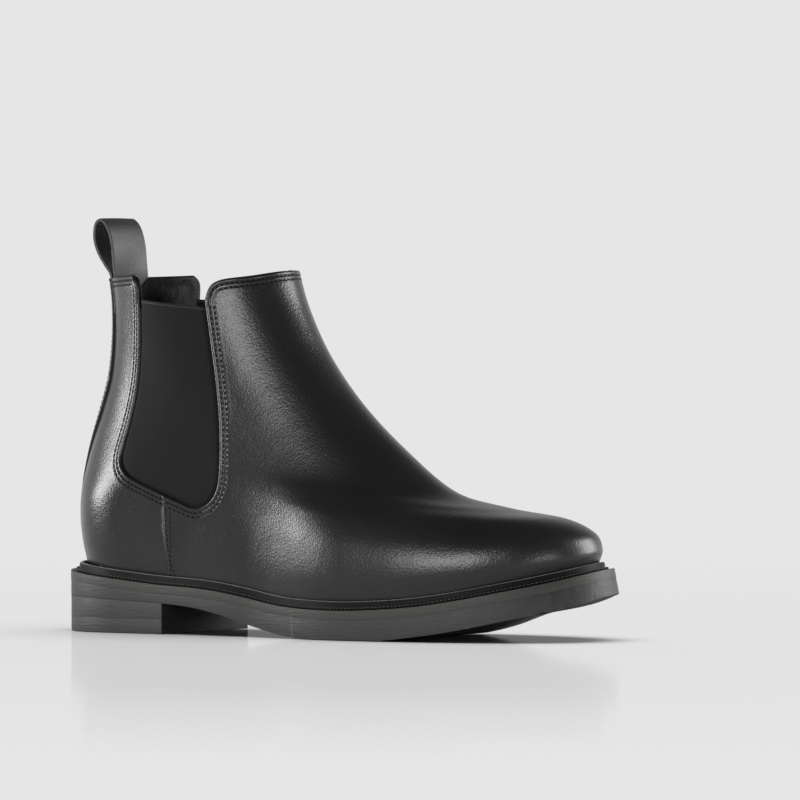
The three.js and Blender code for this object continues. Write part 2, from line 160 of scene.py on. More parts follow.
def slice_at(v):
    n = len(SLICES)
    s = np.clip(v, 0, 1) * (n - 1)
    i = np.clip(s.astype(int), 0, n - 2)
    f = (s - i)[..., None]
    t = np.vstack([2 * SLICES[0] - SLICES[1], SLICES, 2 * SLICES[-1] - SLICES[-2]])
    p0, p1, p2, p3 = t[i], t[i + 1], t[i + 2], t[i + 3]
    q = 2 * p0 - 5 * p1 + 4 * p2 - p3
    return 0.5 * (2 * p1 + (p2 - p0) * f + q * f ** 2 + (3 * p1 - p0 - 3 * p2 + p3) * f ** 3)


def half_width(t, side, nose, tail, ball, waist, heel):
    lateral = side < 0
    tb, tw = np.where(lateral, .36, .29), np.where(lateral, .6, .62)
    b, w = np.where(lateral, ball, ball * .98), np.where(lateral, waist + 1.5, waist - 1.5)
    a = np.where(t < tb, b, mix(b, w, smooth((t - tb) / (tw - tb))))
    a = np.where(t < tw, a, mix(w, heel, smooth((t - tw) / (.84 - tw))))
    front = 1 - np.clip(1 - t / (nose * np.where(lateral, 1.03, .92)), 0, 1) ** 2.3
    rear = 1 - np.clip(1 - (1 - t) / tail, 0, 1) ** 2
    return a * np.sqrt(np.clip(front, 0, 1)) * np.sqrt(np.clip(rear, 0, 1))


def skin(u, v):
    """Leather face of the boot: u runs 0 toe, .25 lateral, .5 heel, .75 medial; v 0 to 1 rises."""
    u, v = np.broadcast_arrays(np.asarray(u, float), np.asarray(v, float))
    w = u % 1
    side = np.where(w < .5, -1., 1.)
    t = (1 - np.cos(np.pi * 2 * np.where(w < .5, w, 1 - w))) / 2
    xf, zf, xb, zb, *shape = np.moveaxis(slice_at(v), -1, 0)
    x = mix(xf, xb, t)
    y = side * half_width(t, side, *shape) + swing(x)
    sag = np.clip(1 - v / .45, 0, 1) ** 1.3
    low = ledge(x, y)
    flat = mix(ledge(xf, swing(xf)), ledge(xb, 0), t)
    return np.stack([x, y, mix(zf, zb, t) + sag * (low - flat)], -1)


def unit(vectors):
    return vectors / np.linalg.norm(vectors, axis=-1, keepdims=True)


def skin_normal(u, v):
    e = 0.003
    along = skin(u + e, v) - skin(u - e, v)
    rise = skin(u, np.minimum(v + e, 1)) - skin(u, np.maximum(v - e, 0))
    return unit(np.cross(rise, along))


def on_skin(uv):
    """The places of pattern points."""
    return skin(uv[:, 0], uv[:, 1])


print("topline back", skin(.5, 1.).round(1), "toe", skin(0., 0.).round(1))

# %% [markdown]
# ## Shader maths in plain Python
# A finish is easier to read as arithmetic than as a web of nodes. A Wire is one output socket, and
# adding or multiplying wires makes the Math nodes. A Finish is one material, and its node method
# adds any other node: its kind, its settings, and what goes into its sockets.

# %% Wire and Finish
class Wire:
    def __init__(self, finish, socket):
        self.finish, self.socket = finish, socket

    def maths(self, operation, *values):
        return self.finish.node("ShaderNodeMath", {"operation": operation}, list(values))

    def __add__(self, other):
        return self.maths("ADD", self, other)

    def __sub__(self, other):
        return self.maths("SUBTRACT", self, other)

    def __rsub__(self, other):
        return self.maths("SUBTRACT", other, self)

    def __mul__(self, other):
        return self.maths("MULTIPLY", self, other)

    __radd__, __rmul__ = __add__, __mul__

    def clip(self):
        return self.maths("MAXIMUM", self.maths("MINIMUM", self, 1.0), 0.0)

    def sine(self):
        return self.maths("SINE", self)


class Finish:
    def __init__(self, name, **shader):
        self.material = bpy.data.materials.new(name)
        self.material.use_nodes = True
        self.tree = self.material.node_tree
        self.tree.nodes.clear()
        self.shader = self.tree.nodes.new("ShaderNodeBsdfPrincipled")
        self.out = self.tree.nodes.new("ShaderNodeOutputMaterial")
        self.tree.links.new(self.shader.outputs[0], self.out.inputs[0])
        self.feed(self.shader, shader)

    def feed(self, node, values):
        items = values.items() if isinstance(values, dict) else enumerate(values)
        for key, value in items:
            socket = node.inputs[key.replace("_", " ") if isinstance(key, str) else key]
            if isinstance(value, Wire):
                self.tree.links.new(value.socket, socket)
            elif value is not None:
                socket.default_value = value

    def node(self, kind, settings=None, values=(), out=0):
        n = self.tree.nodes.new(kind)
        for key, value in (settings or {}).items():
            setattr(n, key, value)
        self.feed(n, values)
        return Wire(self, n.outputs[out])

    def place(self):
        return self.node("ShaderNodeTexCoord", out="Object")

    def attribute(self, name):
        return self.node("ShaderNodeAttribute", {"attribute_name": name}, out="Fac")

    def noise(self, scale, detail=2.0, where=None, rough=0.5):
        where = where or self.place()
        return self.node("ShaderNodeTexNoise", {}, {
            "Vector": where, "Scale": scale, "Detail": detail, "Roughness": rough})

    def cells(self, scale):
        return self.node("ShaderNodeTexVoronoi", {}, {
            "Vector": self.place(), "Scale": scale}, "Distance")

    def colours(self, amount, dark, light):
        return self.node("ShaderNodeMix", {"data_type": "RGBA"}, {
            0: amount, 6: (*dark, 1), 7: (*light, 1)}, out=2)

    def bump(self, height, distance, strength=1.0, normal=None):
        return self.node("ShaderNodeBump", {}, {
            "Height": height, "Distance": distance, "Strength": strength, "Normal": normal})

    def show(self, **values):
        self.feed(self.shader, values)
        return self.material


def put(piece, material):
    piece.data.materials.clear()
    piece.data.materials.append(material)


def pick(piece):
    bpy.ops.object.select_all(action="DESELECT")
    piece.select_set(True)
    bpy.context.view_layer.objects.active = piece


def flat_grid(cells):
    """A new grid on the floor with that many cells along x and y, and its points from 0 to 1."""
    bpy.ops.object.select_all(action="DESELECT")
    bpy.ops.mesh.primitive_grid_add(x_subdivisions=cells[0], y_subdivisions=cells[1], size=1)
    grid = bpy.context.object
    return grid, np.array([v.co[:2] for v in grid.data.vertices]) + .5


# %% [markdown]
# ## The finishes
# Smooth box calf is black with a soft sheen. Its grain is fine and even, and it only shows where
# light strikes it, so the grain is a few scales of bump and a slight change of roughness. Along a
# stitched edge the leather is drawn down into two grooves, which follow the distance to the edge.

# %% Black calf
ROW_1, ROW_2 = 2.6, 4.7


def calf(name, dark, light, rough, rows=True):
    f = Finish(name, Specular_IOR_Level=0.5)
    fine = f.noise(1500.0, 3.0)
    pebble = f.cells(900.0)
    mottle = f.noise(760.0, 3.0, rough=.65)
    broad = f.noise(26.0, 3.0)
    wear = f.noise(9.0, 2.0)
    height = fine * 0.5 + pebble * 0.6
    normal = f.bump(height, 0.00016, 0.6)
    normal = f.bump(mottle, 0.0002, 0.4, normal)
    normal = f.bump(broad, 0.0024, 0.3, normal)
    if rows:
        edge = f.attribute("edge")
        for row in (ROW_1, ROW_2):
            gap = (edge - row) * 1.7
            groove = 1.0 - (gap * gap).clip()
            normal = f.bump(groove * -1.0, 0.0003, 0.6, normal)
    tint = (broad * 0.7 + fine * 0.3 + (wear - 0.5) * 0.5).clip()
    base = f.colours(tint, dark, light)
    shine = (wear - 0.5) * 0.16 + (mottle - 0.5) * 0.1 + rough
    return f.show(Base_Color=base, Roughness=shine, Normal=normal)


CALF = calf("calf", (.008, .008, .0082), (.014, .014, .0143), 0.31)
STRAP = calf("strap_calf", (.010, .010, .0103), (.018, .018, .0185), 0.5, rows=False)

# %% [markdown]
# The elastic is a dense knit with fine ribs along the height of the boot. It is matt, so nearly
# all of its look is the rib and a little lint.

# %% Elastic, lining, thread
def elastic(name):
    f = Finish(name, Specular_IOR_Level=0.15, Sheen_Weight=0.04, Sheen_Roughness=0.5)
    parts = f.node("ShaderNodeSeparateXYZ", {}, {"Vector": f.place()}, out=0)
    rib = (parts * (2 * math.pi / 0.00125)).sine() * 0.5 + 0.5
    lint = f.noise(2600.0, 2.0)
    broad = f.noise(40.0, 2.0)
    normal = f.bump(rib * 0.4 + lint * 0.6, 0.0001, 0.5)
    base = f.colours((rib * 0.15 + broad * 0.5 + lint * 0.3).clip(), (.005, .005, .005),
                     (.0105, .0105, .0107))
    return f.show(Base_Color=base, Roughness=(lint * 0.15 + 0.72), Normal=normal)


HEM = 2.8


def creased_lining(name):
    f = Finish(name, Specular_IOR_Level=0.35)
    broad = f.noise(55.0, 4.0, rough=0.6)
    fine = f.noise(900.0, 2.0)
    normal = f.bump(fine, 0.0001, 0.6)
    normal = f.bump(broad, 0.003, 0.55, normal)
    past_hem = ((f.attribute("hem") - HEM) * 3.0).clip()
    normal = f.bump(past_hem * -1.0, 0.0004, 0.8, normal)
    # Within HEM of the edge the colour stays at its darkest tone: painted shade along the turned
    # hem. Past it the tone varies at random.
    base = f.colours(broad * past_hem, (.001, .001, .001), (.010, .010, .010))
    return f.show(Base_Color=base, Roughness=fine * 0.2 + 0.4, Normal=normal)


def twisted_thread(name, dark, light):
    f = Finish(name, Specular_IOR_Level=0.15)
    strand = f.noise(3500.0, 2.0)
    return f.show(Base_Color=f.colours(strand, dark, light), Roughness=strand * 0.2 + 0.45,
                  Normal=f.bump(strand, 0.0001, 0.6))


ELASTIC = elastic("elastic")
LINING = creased_lining("lining")
THREAD = twisted_thread("thread", (.0015, .0015, .0015), (.005, .005, .005))

# %% [markdown]
# The sole is moulded and buffed rubber. Its edge was sanded along its length, so the marks run
# round the boot, which a noise stretched along the edge gives.

# %% Rubber and the hidden materials
def rubber(name, dark, light, rough):
    f = Finish(name, Specular_IOR_Level=0.45)
    where = f.node("ShaderNodeMapping", {}, {"Vector": f.place(), "Scale": (1.0, 1.0, 9.0)})
    band = f.noise(110.0, 4.0, where, 0.65)
    fine = f.noise(1200.0, 2.0)
    cloud = f.noise(18.0, 3.0)
    normal = f.bump(fine, 0.00012, 0.5)
    normal = f.bump(band, 0.0005, 0.5, normal)
    base = f.colours((band * 0.6 + cloud * 0.6 - 0.1).clip(), dark, light)
    return f.show(Base_Color=base, Roughness=band * 0.18 + fine * 0.1 + (rough - 0.14),
                  Normal=normal)


def plain(name, dark, light, rough, scale=300.0, depth=0.0002, **shader):
    f = Finish(name, **shader)
    grain = f.noise(scale, 3.0)
    return f.show(Base_Color=f.colours(grain, dark, light), Roughness=grain * 0.15 + rough - 0.07,
                  Normal=f.bump(grain, depth, 0.5))


def lipped(name):
    """Black rubber with a pale line painted along its raised lip as a highlight."""
    f = Finish(name, Specular_IOR_Level=0.12)
    ridge = f.attribute("ridge")
    band = f.noise(90.0, 4.0, rough=0.65)
    fine = f.noise(1200.0, 2.0)
    dark = f.colours(band, (.0015, .0015, .0015), (.005, .005, .0048))
    # The pale colour along the lip's ridge is a painted highlight.
    painted_lip_highlight = f.node("ShaderNodeMix", {"data_type": "RGBA"}, {
        0: (ridge * (band * .9 + .45)).clip(), 6: dark, 7: (.6, .59, .57, 1)}, out=2)
    return f.show(Base_Color=painted_lip_highlight, Roughness=(band * 0.2 + 0.45) - ridge * 0.25,
                  Normal=f.bump(fine, 0.0001, 0.4))


WELT_RUBBER = lipped("welt_rubber")
MIDSOLE_RUBBER = rubber("midsole_rubber", (.022, .0215, .020), (.040, .039, .036), 0.55)
OUTSOLE_RUBBER = rubber("outsole_rubber", (.017, .017, .0165), (.031, .031, .030), 0.55)
HEEL_RUBBER = rubber("heel_rubber", (.019, .019, .0182), (.034, .034, .032), 0.55)
TOP_RUBBER = rubber("top_piece_rubber", (.017, .017, .0165), (.031, .031, .030), 0.55)
# Near-black rubber for the faces that face down and for the heel's breast: painted shade.
UNDERSIDE_SHADE_RUBBER = rubber("underside_painted_shade", (.0025, .0025, .0025), (.007, .007, .007), 0.7)
HIDDEN = {
    "toe_puff": plain("stiff_cloth", (.35, .31, .24), (.5, .45, .36), 0.85, 900.0),
    "heel_counter": plain("fibre", (.36, .33, .27), (.5, .47, .4), 0.85, 500.0),
    "back_seam_tape": plain("tape", (.02, .02, .02), (.04, .04, .04), 0.85, 1500.0),
    "insole_board": plain("board", (.3, .2, .11), (.42, .3, .18), 0.7, 200.0),
    "insole_rib": plain("canvas", (.5, .44, .3), (.65, .59, .44), 0.9, 1200.0),
    "sock_liner": plain("sock_leather", (.008, .008, .008), (.02, .02, .02), 0.5, 700.0),
    "heel_pad": plain("foam", (.012, .012, .012), (.024, .024, .024), 0.85, 900.0),
    "cork_filler": plain("cork", (.22, .13, .06), (.45, .3, .16), 0.9, 260.0, 0.0006),
    "shank": plain("spring_steel", (.45, .46, .47), (.6, .61, .62), 0.35, 400.0, Metallic=1.0),
}
for number in range(1, 6):
    HIDDEN[f"heel_nail_{number}"] = plain(
        f"brass_{number}", (.5, .34, .13), (.66, .48, .22), 0.35, 500.0, Metallic=1.0)
for node_name, material in HIDDEN.items():
    put(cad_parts[node_name], material)
print("finishes:", len(bpy.data.materials))

# %% [markdown]
# ## Cutting a sheet on the last
# A pattern piece is a flat grid, as a hide is. Its points are given their place on the last, and
# it is trimmed along smooth lines: the opening for the elastic, the side seam, the topline. Each
# trim line is a field, a distance in millimetres that is zero on the line. Extra lines at fixed
# distances from an edge put rows of points where the leather rolls over and where it is sewn.

# %% Trim lines
def rounded(points, times=3):
    p = np.array(points, float)
    for _ in range(times):
        q = np.roll(p, -1, 0)
        p = np.stack([p * .75 + q * .25, p * .25 + q * .75], 1).reshape(-1, 2)
    return p


WINDOW = rounded(GORE + NOTCH)


def window_distance(xz):
    """Distance to the edge of the opening in the side view, positive on the leather."""
    a, b = WINDOW, np.roll(WINDOW, -1, 0)
    d = b - a
    out = np.empty(len(xz))
    for i in range(0, len(xz), 4000):
        p = xz[i:i + 4000, None, :]
        t = np.clip(((p - a) * d).sum(-1) / (d * d).sum(-1), 0, 1)
        near = np.sqrt((((a + d * t[..., None]) - p) ** 2).sum(-1)).min(1)
        crosses = (a[:, 1] > p[..., 1]) != (b[:, 1] > p[..., 1])
        step = np.where(np.abs(d[:, 1]) < 1e-9, 1e-9, d[:, 1])
        x_at = a[:, 0] + (p[..., 1] - a[:, 1]) / step * d[:, 0]
        inside = (crosses & (p[..., 0] < x_at)).sum(1) % 2 == 1
        out[i:i + 4000] = np.where(inside, -near, near)
    return out


def side_view(p):
    """Side view place of points, with the inner elastic's opening set a little further back."""
    x = p[:, 0] + 3.6 * (p[:, 1] > 0) * smooth((p[:, 2] - 100) / 70)
    return np.stack([x, p[:, 2]], 1)


def top_distance(uv):
    e = 0.01
    rise = np.linalg.norm(skin(uv[:, 0], 1.0) - skin(uv[:, 0], 1 - e), axis=-1) / e
    return (1 - uv[:, 1]) * rise


def edge_field(uv):
    p = on_skin(uv)
    return np.minimum(window_distance(side_view(p)), top_distance(uv))


def seam_field(uv):
    """How far ahead of the side seam a point is."""
    p = on_skin(uv)
    return p[:, 0] - np.interp(p[:, 2], *SEAM_X)


def back_field(uv):
    """How far a point is from the raw edge at the back, positive towards the lateral side."""
    p = on_skin(uv)
    edge_y = -np.interp(p[:, 2], [30, 60, 85, 105, 125, 180], [7.5, 8.5, 10.5, 13.2, 14.3, 14.3])
    arc = (uv[:, 0] - .5) * -220.0
    y_arc = np.where(p[:, 0] < 60, -p[:, 1], arc)
    return np.where(np.abs(arc) < 40, y_arc + edge_y, np.sign(arc) * 60.0)


class Sheet:
    """A hide on the last: pattern points, faces, and which points already lie on a trim line."""

    def __init__(self, u_span, v_span, cells):
        hide, flat = flat_grid(cells)
        self.faces = [list(p.vertices) for p in hide.data.polygons]
        bpy.ops.object.delete()
        spans = np.array([u_span, v_span])
        self.uv = spans[:, 0] + flat * (spans[:, 1] - spans[:, 0])
        self.held = ((flat < 1e-6) | (flat > 1 - 1e-6)).any(1)

    def cut(self, field, level=0.0, keep=False):
        """Adds a line of points where field = level. With keep, what lies below it is cut off."""
        s = field(self.uv) - level
        base, moved, fresh, extra, out = self.uv.copy(), set(), {}, [], []
        edges = sorted({(min(a, b), max(a, b)) for f in self.faces for a, b in zip(f, f[1:] + f[:1])
                        if s[a] * s[b] < 0})
        for a, b in edges:
            t = s[a] / (s[a] - s[b])
            for me, you, k in ((a, b, t), (b, a, 1 - t)):
                if k < .3 and not self.held[me] and me not in moved and you not in moved:
                    self.uv[me] = base[me] + (base[you] - base[me]) * k
                    moved.add(me)
        for a in moved:
            s[a] = 0.0
            self.held[a] = True
        for f in self.faces:
            values = [s[i] for i in f]
            if min(values) >= 0 or max(values) <= 0:
                if not keep or max(values) > 0:
                    out.append(f)
                continue
            above, below = [], []
            for a, b in zip(f, f[1:] + f[:1]):
                if s[a] >= 0:
                    above.append(a)
                if s[a] <= 0:
                    below.append(a)
                if s[a] * s[b] < 0:
                    key = (min(a, b), max(a, b))
                    if key not in fresh:
                        i, j = key
                        fresh[key] = len(self.uv) + len(extra)
                        extra.append(self.uv[i] + (self.uv[j] - self.uv[i]) * s[i] / (s[i] - s[j]))
                    above.append(fresh[key])
                    below.append(fresh[key])
            out += [f for f in (above, [] if keep else below) if len(f) > 2]
        uv = np.vstack([self.uv, extra]) if extra else self.uv
        held = np.concatenate([self.held, np.full(len(extra), True)])
        used = sorted({i for f in out for i in f})
        index = {old: new for new, old in enumerate(used)}
        self.uv, self.held = uv[used], held[used]
        self.faces = [[index[i] for i in f] for f in out]
        return self

    def chains(self, field, level):
        """The lines of points along field = level, each as an ordered list."""
        on = np.abs(field(self.uv) - level) < 0.02
        ways = {}
        for f in self.faces:
            for a, b in zip(f, f[1:] + f[:1]):
                if on[a] and on[b]:
                    ways.setdefault(a, set()).add(b)
                    ways.setdefault(b, set()).add(a)
        chains = []
        while ways:
            ends = [a for a in ways if len(ways[a]) == 1]
            here = min(ends) if ends else min(ways)
            chain = [here]
            while ways.get(here):
                there = min(ways[here])
                ways[here].discard(there)
                ways[there].discard(here)
                chain.append(there)
                here = there
            ways = {a: w for a, w in ways.items() if w}
            if len(chain) > 6:
                chains.append(self.uv[chain])
        return chains


print("window outline points:", len(WINDOW))

# %% [markdown]
# A trimmed sheet becomes a piece in one step: its outer side is lifted off the last by its relief,
# its inner side lies one thickness deeper, and a narrow rim joins the two along every trim line.

# %% Sheet to solid piece
def as_piece(name, points, faces, material, attributes=None, smooth_angle=None):
    mesh = bpy.data.meshes.new(name)
    mesh.from_pydata((np.asarray(points) * MM).tolist(), [], [list(map(int, f)) for f in faces])
    mesh.update()
    piece = bpy.data.objects.new(name, mesh)
    bpy.context.collection.objects.link(piece)
    for key, values in (attributes or {}).items():
        layer = mesh.attributes.new(key, "FLOAT", "POINT")
        layer.data.foreach_set("value", np.asarray(values, np.float32))
    pick(piece)
    if smooth_angle is None:
        bpy.ops.object.shade_smooth()
    else:
        bpy.ops.object.shade_smooth_by_angle(angle=math.radians(smooth_angle))
    put(piece, material)
    return piece


def boundary(faces):
    count = {}
    for f in faces:
        for a, b in zip(f, f[1:] + f[:1]):
            count[(a, b)] = count.get((a, b), 0) + 1
    return [e for e in count if (e[1], e[0]) not in count]


def thick_sheet(name, sheet, outer, inner, material, smooth_angle=50, **marks):
    """outer and inner are heights over the leather face, in millimetres, for every point."""
    uv, faces = sheet.uv, sheet.faces
    base, n = on_skin(uv), skin_normal(uv[:, 0], uv[:, 1])
    count = len(uv)
    rim = [[b, a, a + count, b + count] for a, b in boundary(faces)]
    solid = faces + [[i + count for i in reversed(f)] for f in faces] + rim
    if not facing_out(uv, faces):
        solid = [list(reversed(f)) for f in solid]
    away = np.full(count, 99.0)
    marks = {key: np.concatenate([value, away]) for key, value in marks.items()}
    points = np.vstack([base + n * outer[:, None], base + n * inner[:, None]])
    return as_piece(name, points, solid, material, marks, smooth_angle)


def facing_out(uv, faces):
    a, b, c = on_skin(uv[faces[0][:3]])
    n = skin_normal(uv[faces[0][0], 0], uv[faces[0][0], 1])
    return float(np.dot(np.cross(b - a, c - a), n)) > 0


def wave(points, size, seed):
    """A slow noise for each point, about -1 to 1."""
    return np.array([noise.noise(Vector(p) / size + Vector((seed, seed * 2.7, 0)))
                     for p in points.tolist()])


def bell(x, middle, width):
    return np.exp(-((x - middle) / width) ** 2)


def folded_edge(d):
    """Relief of leather that is turned over at its edge and sewn down in two rows."""
    roll = -0.75 * (1 - np.sqrt(np.clip(1 - np.clip(1 - d / 1.0, 0, 1) ** 2, 0, 1)))
    rim = 0.40 * smooth(d / 1.0) * (1 - smooth((d - 1.4) / 1.2))
    between = 0.14 * bell(d, (ROW_1 + ROW_2) / 2, .7) + 0.08 * bell(d, ROW_2 + 1.2, .8)
    rows = -0.10 * bell(d, ROW_1, .4) - 0.10 * bell(d, ROW_2, .4)
    return roll + rim + between + rows


EDGE_LEVELS = (.25, .6, 1.1, 1.7, 2.2, ROW_1, 3.05, 3.6, 4.2, ROW_2, 5.2, 6.2)

# %% [markdown]
# ## Vamp and quarters
# The front of the boot is one piece of calf from the toe to the topline. Behind it each side has
# a quarter. The vamp laps over the quarters at the side seam, and the medial quarter laps round
# the back over the lateral one, so those edges are raw, thin and slightly raised.

# %% Leather panels
SKIN, SEAM_LAP, BACK_LAP = 1.8, 8.0, 9.0


def panel(name, u_span, cells, trims, relief, raw):
    sheet = Sheet(u_span, (0, 1), cells).cut(edge_field, keep=True)
    for field in trims:
        sheet.cut(field, keep=True)
    for level in EDGE_LEVELS:
        sheet.cut(edge_field, level)
    for level in raw[1]:
        sheet.cut(raw[0], level)
    d = edge_field(sheet.uv)
    base = on_skin(sheet.uv)
    lie = relief(sheet.uv)
    outer = folded_edge(d) + lie + 0.22 * wave(base, 34.0, 3.0) * smooth((d - 6) / 20)
    inner = np.minimum(outer - 0.5, lie - SKIN + 0.45 * (1 - smooth(d / 1.0)))
    piece = thick_sheet(name, sheet, outer, inner, CALF, edge=d)
    print(name, "faces", len(piece.data.polygons))
    return piece, sheet


def behind_seam(uv):
    return SEAM_LAP - seam_field(uv)


def over_back(uv):
    """The medial quarter's side of the raw back edge."""
    return -back_field(uv)


def under_back(uv):
    return back_field(uv) + BACK_LAP


def vamp_relief(uv):
    d = seam_field(uv)
    return 0.75 * (1 - smooth(d / 14)) - 0.45 * (1 - smooth(d / .45)) - 0.1 * bell(d, .9, .4)


def quarter_under_vamp(uv):
    return -1.25 * smooth((seam_field(uv) + .7) / 1.0)


def lateral_relief(uv):
    d = back_field(uv)
    return quarter_under_vamp(uv) - 1.0 * (1 - smooth((d - 14) / 16)) - .8 * (1 - smooth(d / .8))


def medial_relief(uv):
    d = -back_field(uv)
    return quarter_under_vamp(uv) + 0.45 * (1 - smooth(d / 16)) - 0.25 * (1 - smooth(d / .4))


panels = {
    "vamp": panel("vamp_leather", (-.345, .345), (300, 100), [seam_field], vamp_relief,
                  (seam_field, (.25, .6, 1.2))),
    "quarter_lateral": panel("quarter_leather_lateral", (.29, .53), (110, 100),
                             [behind_seam, under_back], lateral_relief,
                             (seam_field, (-.8, -.2, .4))),
    "quarter_medial": panel("quarter_leather_medial", (.41, .71), (136, 100),
                            [behind_seam, over_back], medial_relief,
                            (back_field, (-.25, -.6, -1.2))),
}
for node_name, (piece, sheet) in panels.items():
    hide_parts(node_name)
    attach(piece, "boot")

# %% [markdown]
# ## Sewing
# Each row of stitches follows a line of points that was cut into the sheet. One stitch is a small
# stretched sphere. It is modelled once and copied along the row, sunk by half into the leather.

# %% Stitches
SUNK = 0.06


def one_stitch(length, width, height):
    bpy.ops.object.select_all(action="DESELECT")
    bpy.ops.mesh.primitive_uv_sphere_add(segments=8, ring_count=6, radius=.5)
    ball = bpy.context.object
    points = np.array([v.co for v in ball.data.vertices])[:, [2, 0, 1]]
    faces = [list(p.vertices) for p in ball.data.polygons]
    bpy.ops.object.delete()
    blunt = np.sign(points[:, 0]) * np.abs(points[:, 0] * 2) ** .6 / 2
    return np.stack([blunt * length, points[:, 1] * width, points[:, 2] * height], 1), faces


def sew(name, rows, material, length=1.9, gap=.7, width=.75, height=.5):
    """rows holds pairs of line points and surface normals, both in millimetres."""
    points, faces = one_stitch(length, width, height)
    made, all_faces = [], []
    for line, normals in rows:
        step = np.linalg.norm(np.diff(line, axis=0), axis=1)
        along = np.concatenate([[0], np.cumsum(step)])
        count = int(along[-1] // (length + gap))
        if count < 1:
            continue
        middles = (np.arange(count) + .5) * along[-1] / count
        at, ahead, behind, n = (
            np.stack([np.interp(where, along, values[:, k]) for k in range(3)], 1)
            for where, values in ((middles, line), (middles + .6, line), (middles - .6, line),
                                  (middles, normals)))
        t = unit(ahead - behind)
        side = unit(np.cross(n, t))
        n = np.cross(t, side)
        for i in range(count):
            all_faces += [[j + len(made) * len(points) for j in f] for f in faces]
            made.append(at[i] + points @ np.stack([t[i], side[i], n[i]]))
    piece = as_piece(name, np.vstack(made), all_faces, material)
    print(name, "stitches", len(made))
    return piece


def row_on(uv, height):
    n = skin_normal(uv[:, 0], uv[:, 1])
    return on_skin(uv) + n * np.asarray(height).reshape(-1, 1), n


def pieces_of(uv, wanted):
    """Splits a line of pattern points into the stretches where wanted is true."""
    ok = wanted(uv)
    cuts = np.flatnonzero(np.diff(ok.astype(int))) + 1
    return [p for p in np.split(uv, cuts) if len(p) > 3 and wanted(p[len(p) // 2:][:1])[0]]


def find_uv(x, z, medial=False):
    """The pattern point whose side view place is x, z."""
    x, z = np.broadcast_arrays(np.asarray(x, float), np.asarray(z, float))
    lo, hi = np.zeros(x.shape), np.ones(x.shape)
    for _ in range(40):
        v = (lo + hi) / 2
        rows = slice_at(v)
        t = np.clip((x - rows[..., 0]) / (rows[..., 2] - rows[..., 0]), 1e-4, 1 - 1e-4)
        u = np.arccos(1 - 2 * t) / (2 * np.pi)
        u = 1 - u if medial else u
        high = skin(u, v)[..., 2] > z
        lo, hi = np.where(high, lo, v), np.where(high, v, hi)
    return np.stack([u, v], -1)


shown = {
    "vamp": lambda uv: seam_field(uv) > 1.2,
    "quarter_lateral": lambda uv: (seam_field(uv) < -.4) & (back_field(uv) > .4),
    "quarter_medial": lambda uv: (seam_field(uv) < -.4) & (back_field(uv) < -.8),
}
edge_rows = []
for node_name, (piece, sheet) in panels.items():
    for level in (ROW_1, ROW_2):
        for chain in sheet.chains(edge_field, level):
            for part in pieces_of(chain, shown[node_name]):
                lie = {"vamp": vamp_relief, "quarter_lateral": lateral_relief,
                       "quarter_medial": medial_relief}[node_name](part)
                edge_rows.append(row_on(part, lie - SUNK))
edge_stitches = sew("edge_stitches", edge_rows, THREAD)

# %% [markdown]
# The side seam has two rows on the vamp. They run close together, meet above the welt and then
# spread like a small tent, which lets the leather spread over the last. The back overlap has one.

# %% Seam stitches
SEAM_ROWS = [
    ([62.0, 50, 42, 36, 33, 27.0], [1.5, 1.5, 1.7, 2.1, 1.8, .5]),
    ([61.0, 50, 42, 36, 33, 27.0], [4.2, 3.8, 3.2, 2.5, 2.8, 4.1])]
seam_rows = []
for medial in (False, True):
    for zs, offsets in SEAM_ROWS:
        z = np.linspace(zs[0], zs[-1], 60)
        offset = np.interp(z, zs[::-1], offsets[::-1])
        uv = find_uv(np.interp(z, *SEAM_X) + offset, z, medial)
        seam_rows.append(row_on(uv, vamp_relief(uv) - 0.05))
seam_stitches = sew("seam_stitches", seam_rows, THREAD, 1.7, .6)


def back_line(level, z_low, z_high, count):
    """Pattern points at one distance from the raw back edge."""
    v = np.linspace(0, 1, count)
    lo, hi = np.full(count, .40), np.full(count, .60)
    for _ in range(40):
        u = (lo + hi) / 2
        more = back_field(np.stack([u, v], -1)) > level
        lo, hi = np.where(more, u, lo), np.where(more, hi, u)
    uv = np.stack([(lo + hi) / 2, v], -1)
    z = on_skin(uv)[:, 2]
    return uv[(z > z_low) & (z < z_high)]


back_uv = back_line(-3.0, 32.5, 169.0, 260)
back_stitches = sew("back_stitches", [row_on(back_uv, medial_relief(back_uv) - SUNK)], THREAD)
for piece in (edge_stitches, seam_stitches, back_stitches):
    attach(piece, "boot")

# %% [markdown]
# ## The elastic
# The elastic lies behind the leather: it shows inside the opening and runs on under the folded
# edge, where the two rows of stitches catch it. Its top edge is bound with a narrow tape.

# %% Elastic panels
GORE_TOP = ([17, 57.3], [164.4, 161.0])
ELASTIC_THICK, TUCK = 1.0, 6.5


def window_field(uv):
    return window_distance(side_view(on_skin(uv)))


def under_top(uv):
    p = on_skin(uv)
    return np.interp(p[:, 0], *GORE_TOP) - p[:, 2]


def tucked(uv):
    return TUCK - window_field(uv)


def elastic_relief(uv):
    w = window_field(uv)
    return -1.0 - 1.0 * smooth((w + 2.4) / 2.6) + 0.12 * wave(on_skin(uv), 14.0, 9.0)


for side_name, span in (("lateral", (.12, .475)), ("medial", (.88, .525))):
    sheet = Sheet(span, (.2, .97), (150, 120)).cut(tucked, keep=True).cut(under_top, keep=True)
    for level in (-3.0, -2.0, -1.2, -.4, .4):
        sheet.cut(window_field, level)
    high = elastic_relief(sheet.uv)
    piece = thick_sheet(f"elastic_{side_name}", sheet, high, high - ELASTIC_THICK, ELASTIC)
    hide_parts(f"gore_{side_name}")
    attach(piece, "boot")
    print(piece.name, len(piece.data.polygons))

# %% [markdown]
# A binding is one section carried along a path. The section is a list of offsets sideways and
# upwards, and every station of the path gives its own two directions.

# %% Sweep
def tube_faces(n, m, closed):
    """Faces between n rings of m points each."""
    return [[i * m + k, i * m + (k + 1) % m, (i + 1) % n * m + (k + 1) % m, (i + 1) % n * m + k]
            for i in range(n if closed else n - 1) for k in range(m)]


